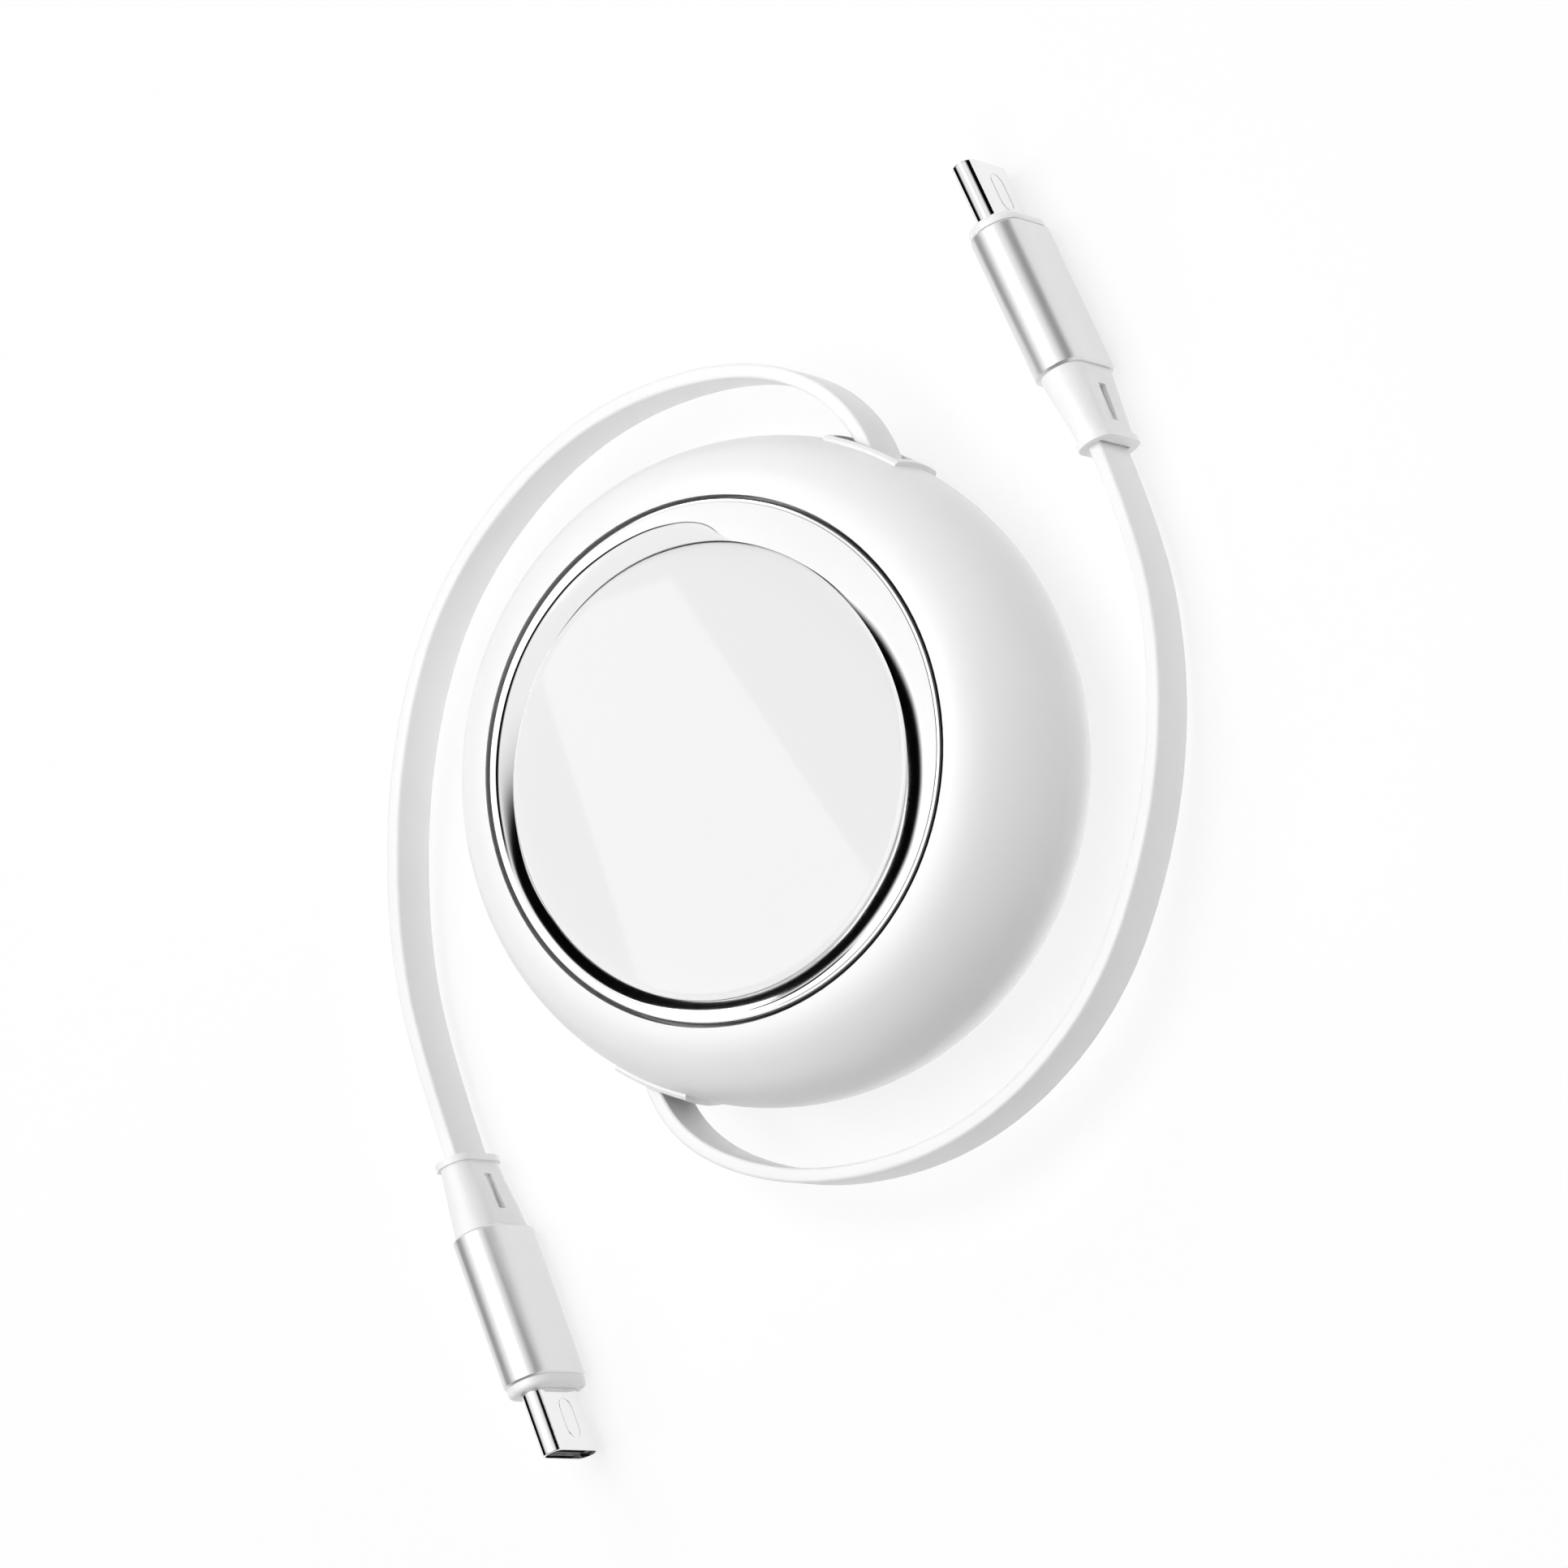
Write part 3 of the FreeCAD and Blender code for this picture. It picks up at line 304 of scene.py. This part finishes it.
def finish_material(name, shades, roughness, metallic=0.0, specular=0.5, grain=None):
    """Material with slight changes of shade and gloss, and a fine grain as bump."""
    material = bpy.data.materials.new(name)
    tree, shader = node_tree(material)
    shader.inputs["Metallic"].default_value = metallic
    shader.inputs["Specular IOR Level"].default_value = specular
    broad = noise(tree, SHADE_WAVES, SHADE_DETAIL)
    tree.links.new(mixed(tree, broad, *shades, "RGBA"), shader.inputs["Base Color"])
    fine = noise(tree, GLOSS_WAVES, GLOSS_DETAIL)
    tree.links.new(ranged(tree, fine, (0.0, 1.0), roughness), shader.inputs["Roughness"])
    if grain:
        waves, depth = grain
        bumped(tree, shader, noise(tree, waves, GRAIN_DETAIL), depth)
    return material


def paint_gap_shade(material):
    """Paints near-black shade on the ring's outer side, by the distance from its axis, for the
    shadow in the gap round the ring.
    """
    tree, shader = node_tree(material)
    polish = shader.inputs["Base Color"].links[0].from_socket
    place = tree.nodes.new("ShaderNodeTexCoord")
    flat = tree.nodes.new("ShaderNodeVectorMath")
    flat.operation = "MULTIPLY"
    flat.inputs[1].default_value = (1, 1, 0)
    reach = tree.nodes.new("ShaderNodeVectorMath")
    reach.operation = "LENGTH"
    tree.links.new(place.outputs["Object"], flat.inputs[0])
    tree.links.new(flat.outputs["Vector"], reach.inputs[0])
    # Painted shade: near black beyond these radii, for the shadow in the gap round the ring
    radii = [radius * MM for radius in GAP_SHADE_RADII]
    gap_shade_mask = ranged(tree, reach.outputs["Value"], radii, (0.0, 1.0))
    shade = mixed(tree, gap_shade_mask, polish, grey(GAP_SHADE_LEVEL), "RGBA")
    tree.links.new(shade, shader.inputs["Base Color"])


def spline_points(name, route):
    """Points along the smooth spline that has the route's points as its control points."""
    curve = bpy.data.curves.new(name + "_line", "CURVE")
    curve.dimensions = "3D"
    spline = curve.splines.new("NURBS")
    spline.points.add(len(route) - 1)
    for point, place in zip(spline.points, route):
        point.co = (*(Vector(place) * MM), 1)
    spline.order_u = SPLINE_ORDER
    spline.use_endpoint_u = True
    spline.resolution_u = SPLINE_STEPS
    holder = bpy.data.objects.new(name + "_line", curve)
    mesh = bpy.data.meshes.new_from_object(holder)
    points = [vertex.co.copy() for vertex in mesh.vertices]
    bpy.data.objects.remove(holder)
    bpy.data.meshes.remove(mesh)
    return points


def rounded_section(width, thickness, radius, steps=5):
    """Rounded rectangle as (across, up) pairs, width upright."""
    section = []
    for turn, (x, y) in enumerate(((1, 1), (-1, 1), (-1, -1), (1, -1))):
        for step in range(steps + 1):
            angle = math.pi / 2 * (turn + step / steps)
            section.append((
                x * (thickness / 2 - radius) + radius * math.cos(angle),
                y * (width / 2 - radius) + radius * math.sin(angle),
            ))
    return section


def lofted(rows, round_again, closed_rows, sharp=()):
    """Smooth skin through rows of points, with creases along the sharp places in a row.

    The last row joins the first if it goes round again, and a closed row's last point its first.
    """
    shape = bmesh.new()
    rings = [[shape.verts.new(point) for point in row] for row in rows]
    count = len(rings[0])
    next_rings = rings[1:] + rings[:1] if round_again else rings[1:]
    for ring, following in zip(rings, next_rings):
        for i in range(count if closed_rows else count - 1):
            j = (i + 1) % count
            shape.faces.new((ring[i], ring[j], following[j], following[i])).smooth = True
        for i in sharp:
            shape.edges.get((ring[i], following[i])).smooth = False
    return shape, rings


def add_piece(name, shape, slot, node):
    """Turns a mesh under construction into a piece of the case that takes a CAD node's place."""
    bmesh.ops.recalc_face_normals(shape, faces=shape.faces)
    mesh = bpy.data.meshes.new(name)
    shape.to_mesh(mesh)
    shape.free()
    mesh.materials.append(materials[slot])
    piece = bpy.data.objects.new(name, mesh)
    scene.collection.objects.link(piece)
    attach(piece, "case")
    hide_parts(node)
    return piece


def make_ribbon(side):
    """Flat ribbon that stands on edge along its spline."""
    points = spline_points("ribbon_" + side, ROUTES[side])
    section = rounded_section(RIBBON_WIDTH, RIBBON_THICKNESS, RIBBON_EDGE_ROUND)
    rows = []
    for before, point, after in zip(points[:1] + points, points, points[1:] + points[-1:]):
        along = after - before
        across = UP.cross(along).normalized()
        up = along.cross(across).normalized()
        rows.append([point + across * x + up * y for x, y in section])
    shape, rings = lofted(rows, round_again=False, closed_rows=True)
    for end in (rings[0], rings[-1][::-1]):
        shape.faces.new(end).smooth = True
    ribbon = add_piece("ribbon_%s_skin" % side, shape, "ribbon_white", "ribbon_" + side)


def recess_at(bearing):
    """Width, step and slopes of the ring's recess at a bearing in degrees."""
    bearings, *columns = zip(*RECESS)
    turns = [bearings[0] - place for place in bearings]
    return [np.interp((bearings[0] - bearing) % 360, turns, column) for column in columns]


def smoothed(values):
    """Running mean of values that go once round the ring."""
    wrapped = np.r_[values[-RECESS_SMOOTHING:], values, values[:RECESS_SMOOTHING]]
    count = 2 * RECESS_SMOOTHING + 1
    return np.convolve(wrapped, np.ones(count) / count, "valid")


def pocket_reach(angle):
    """Distance from the ring's axis to the wall of its pocket, which is off centre."""
    x, y = DISC_CENTRE
    ahead = x * math.cos(angle) + y * math.sin(angle)
    aside = x * math.sin(angle) - y * math.cos(angle)
    return ahead + math.sqrt(POCKET_RADIUS ** 2 - aside ** 2)


def ring_line(pocket, width, step, slope, end_slope):
    """The ring's section as (radius, height) pairs: outer wall, bead, shoulder, step, recess."""
    bead_end = math.pi - math.asin((BEAD_RADIUS - BEAD_RISE) / BEAD_RADIUS)
    bead_middle = RING_RADIUS - BEAD_RADIUS
    bead_height = RING_TOP + BEAD_RISE - BEAD_RADIUS
    line = [(RING_RADIUS, RING_BOTTOM)]
    for k in range(BEAD_STEPS + 1):
        turn = bead_end * k / BEAD_STEPS
        line.append((
            bead_middle + BEAD_RADIUS * math.cos(turn),
            bead_height + BEAD_RADIUS * math.sin(turn),
        ))
    shoulder = line[-1][0]
    edge = min(pocket + width, shoulder - SHOULDER_LEAST)
    ledge = min(STEP_WIDTH, (edge - pocket) * STEP_SHARE)
    line.append(((shoulder + edge) / 2, RING_TOP))
    line.append((edge, RING_TOP))
    line.append((edge - ledge / 2, RING_TOP - step / 2))
    room = edge - ledge - pocket
    for k in range(RECESS_STEPS + 1):
        share = k / RECESS_STEPS
        eased = share ** (1 + RECESS_EASE) / (1 + RECESS_EASE)
        fall = room * (slope * share + (end_slope - slope) * eased)
        line.append((edge - ledge - room * share, RING_TOP - step - fall))
    line.append((pocket, RING_BOTTOM))
    return line


def make_face_ring():
    """Polished ring with a recess that winds down to the disc."""
    samples = np.array([recess_at(360 * i / RING_STEPS) for i in range(RING_STEPS)])
    columns = [smoothed(column) for column in samples.T]
    rows = []
    for i, recess in enumerate(zip(*columns)):
        angle = 2 * math.pi * i / RING_STEPS
        line = ring_line(pocket_reach(angle), *recess)
        rows.append([Vector((r * math.cos(angle), r * math.sin(angle), z)) * MM for r, z in line])
    bead_foot = BEAD_STEPS + 1
    recess_edge = bead_foot + 2
    last = len(rows[0]) - 1
    sharp = (0, bead_foot, recess_edge, last - 1, last)
    shape, _ = lofted(rows, round_again=True, closed_rows=True, sharp=sharp)
    add_piece("face_ring", shape, "trim_chrome", "trim_ring")


def make_face_disc():
    """Plate with a softly rounded edge."""
    edge_width, edge_drop = DISC_EDGE
    line = [(DISC_MIDDLE, DISC_BOTTOM), (DISC_RADIUS, DISC_BOTTOM)]
    for k in range(DISC_EDGE_STEPS + 1):
        turn = math.pi / 2 * (1 - k / DISC_EDGE_STEPS)
        line.append((
            DISC_RADIUS - edge_width * (1 - math.sin(turn)),
            DISC_TOP - edge_drop * (1 - math.cos(turn)),
        ))
    line += [(DISC_RADIUS - edge_width - DISC_EDGE_RUN, DISC_TOP), (DISC_MIDDLE, DISC_TOP)]
    rows = []
    for i in range(DISC_STEPS):
        angle = 2 * math.pi * i / DISC_STEPS
        across = Vector((math.cos(angle), math.sin(angle), 0))
        rows.append([(Vector((*DISC_CENTRE, z)) + across * r) * MM for r, z in line])
    shape, rings = lofted(rows, round_again=True, closed_rows=False, sharp=(1,))
    for end in (0, -1):
        shape.faces.new([ring[end] for ring in rings])
    add_piece("face_plate", shape, "disc_grey", "face_disc")


def make_camera():
    """Camera at the photograph's viewing angle."""
    back = CAMERA_RIGHT.cross(CAMERA_UP).normalized()
    right = CAMERA_UP.cross(back).normalized()
    turn = Matrix((right, back.cross(right), back)).transposed()
    data = bpy.data.cameras.new("camera")
    data.lens = CAMERA_LENS
    data.sensor_width = CAMERA_SENSOR
    data.clip_start = CAMERA_NEAR
    camera = bpy.data.objects.new("camera", data)
    camera.matrix_world = Matrix.Translation(CAMERA_PLACE) @ turn.to_4x4()
    scene.collection.objects.link(camera)
    scene.camera = camera


def make_card(name, corners, level):
    """Bright card that only mirrors see."""
    mesh = bpy.data.meshes.new(name)
    mesh.from_pydata(corners, [], [range(len(corners))])
    card = bpy.data.objects.new(name, mesh)
    scene.collection.objects.link(card)
    card.visible_camera = False
    card.visible_diffuse = False
    card.visible_transmission = False
    card.visible_shadow = False
    material = bpy.data.materials.new(name)
    _, shader = node_tree(material)
    shader.inputs["Base Color"].default_value = grey(0)
    shader.inputs["Specular IOR Level"].default_value = 0.0
    shader.inputs["Emission Color"].default_value = grey(1)
    shader.inputs["Emission Strength"].default_value = level
    mesh.materials.append(material)


def make_cards():
    """A window card whose outline crosses the disc, and a round one at the overhead lamp."""
    window = []
    for x, y in WINDOW_GLARE:
        point = Vector((x, y, DISC_TOP)) * MM
        away = point - CAMERA_PLACE
        away.z = -away.z
        window.append(point + away * ((WINDOW_HEIGHT - point.z) / away.z))
    make_card("window_card", window, WINDOW_LEVEL)
    angles = [2 * math.pi * i / ROUND_CARD_SIDES for i in range(ROUND_CARD_SIDES)]
    rim = [Vector((math.cos(angle), math.sin(angle), 0)) * OVERHEAD_SIZE / 2 for angle in angles]
    make_card("round_card", [Vector(OVERHEAD_PLACE) + place for place in rim], ROUND_CARD_LEVEL)


def make_floor():
    """Matte pale floor that looks nearly white to the camera and to mirrors, and keeps shadows."""
    corners = ((-1, -1), (1, -1), (1, 1), (-1, 1))
    mesh = bpy.data.meshes.new("floor")
    mesh.from_pydata([(x * FLOOR_HALF, y * FLOOR_HALF, 0) for x, y in corners], [], [range(4)])
    floor = bpy.data.objects.new("floor", mesh)
    scene.collection.objects.link(floor)
    material = bpy.data.materials.new("floor_white")
    tree, shader = node_tree(material)
    shader.inputs["Base Color"].default_value = grey(FLOOR_SHADE)
    shader.inputs["Roughness"].default_value = 1.0
    shader.inputs["Specular IOR Level"].default_value = 0.0
    white = tree.nodes.new("ShaderNodeEmission")
    white.inputs["Strength"].default_value = 1.0
    path = tree.nodes.new("ShaderNodeLightPath")
    seen = calculated(tree, "MAXIMUM", path.outputs["Is Camera Ray"], path.outputs["Is Glossy Ray"])
    mix = tree.nodes.new("ShaderNodeMixShader")
    tree.links.new(calculated(tree, "MULTIPLY", seen, FLOOR_WHITE), mix.inputs["Fac"])
    tree.links.new(shader.outputs[0], mix.inputs[1])
    tree.links.new(white.outputs[0], mix.inputs[2])
    tree.links.new(mix.outputs[0], tree.nodes["Material Output"].inputs["Surface"])
    mesh.materials.append(material)


def make_world():
    """Even light, white behind the object, and a dark wall round the table in mirrors."""
    world = bpy.data.worlds.new("studio")
    scene.world = world
    world.use_nodes = True
    tree = world.node_tree
    light = tree.nodes["Background"]
    light.inputs["Color"].default_value = grey(1)
    place = tree.nodes.new("ShaderNodeTexCoord")
    split = tree.nodes.new("ShaderNodeSeparateXYZ")
    tree.links.new(place.outputs["Generated"], split.inputs["Vector"])
    wall = ranged(tree, split.outputs["Z"], WALL_FADE, (0.0, CEILING_LEVEL), "SMOOTHSTEP")
    path = tree.nodes.new("ShaderNodeLightPath")
    mirrored = mixed(tree, path.outputs["Is Glossy Ray"], WORLD_LIGHT, wall)
    strength = mixed(tree, path.outputs["Is Camera Ray"], mirrored, 1.0)
    tree.links.new(strength, light.inputs["Strength"])


def make_lamp(name, place, size, watts, mirrored):
    """Round lamp that faces the object."""
    data = bpy.data.lights.new(name, "AREA")
    data.shape = "DISK"
    data.size = size
    data.energy = watts
    lamp = bpy.data.objects.new(name, data)
    lamp.location = place
    lamp.rotation_euler = (-Vector(place)).to_track_quat("-Z", "Y").to_euler()
    lamp.visible_glossy = mirrored
    scene.collection.objects.link(lamp)
    return lamp


def make_table_glow():
    """Wide lamp that lies on the floor and lights the undersides, as a lit table does."""
    watts = TABLE_GLOW * math.pi * math.pi * TABLE_GLOW_SIZE ** 2 / 4
    lamp = make_lamp("table", (0, 0, TABLE_GLOW_HEIGHT), TABLE_GLOW_SIZE, watts, mirrored=False)
    lamp.data.spread = TABLE_GLOW_SPREAD
    lamp.rotation_euler = (math.pi, 0, 0)
    lamp.visible_camera = False


materials = {slot: finish_material(slot, **finish) for slot, finish in FINISHES.items()}
# Painted shade on the ring's outer side, for the shadow in the gap round the ring
paint_gap_shade(materials["trim_chrome"])

slot_of = {row["node"]: row["material_slot"] for row in frame["record"]["subparts"]}
for name, item in nodes.items():
    item.data.materials.clear()
    item.data.materials.append(materials[slot_of[name]])

for side in "ab":
    make_ribbon(side)
make_face_ring()
make_face_disc()

make_camera()
make_cards()
make_floor()
make_world()
for name, lamp in LAMPS.items():
    make_lamp(name, *lamp)
make_table_glow()
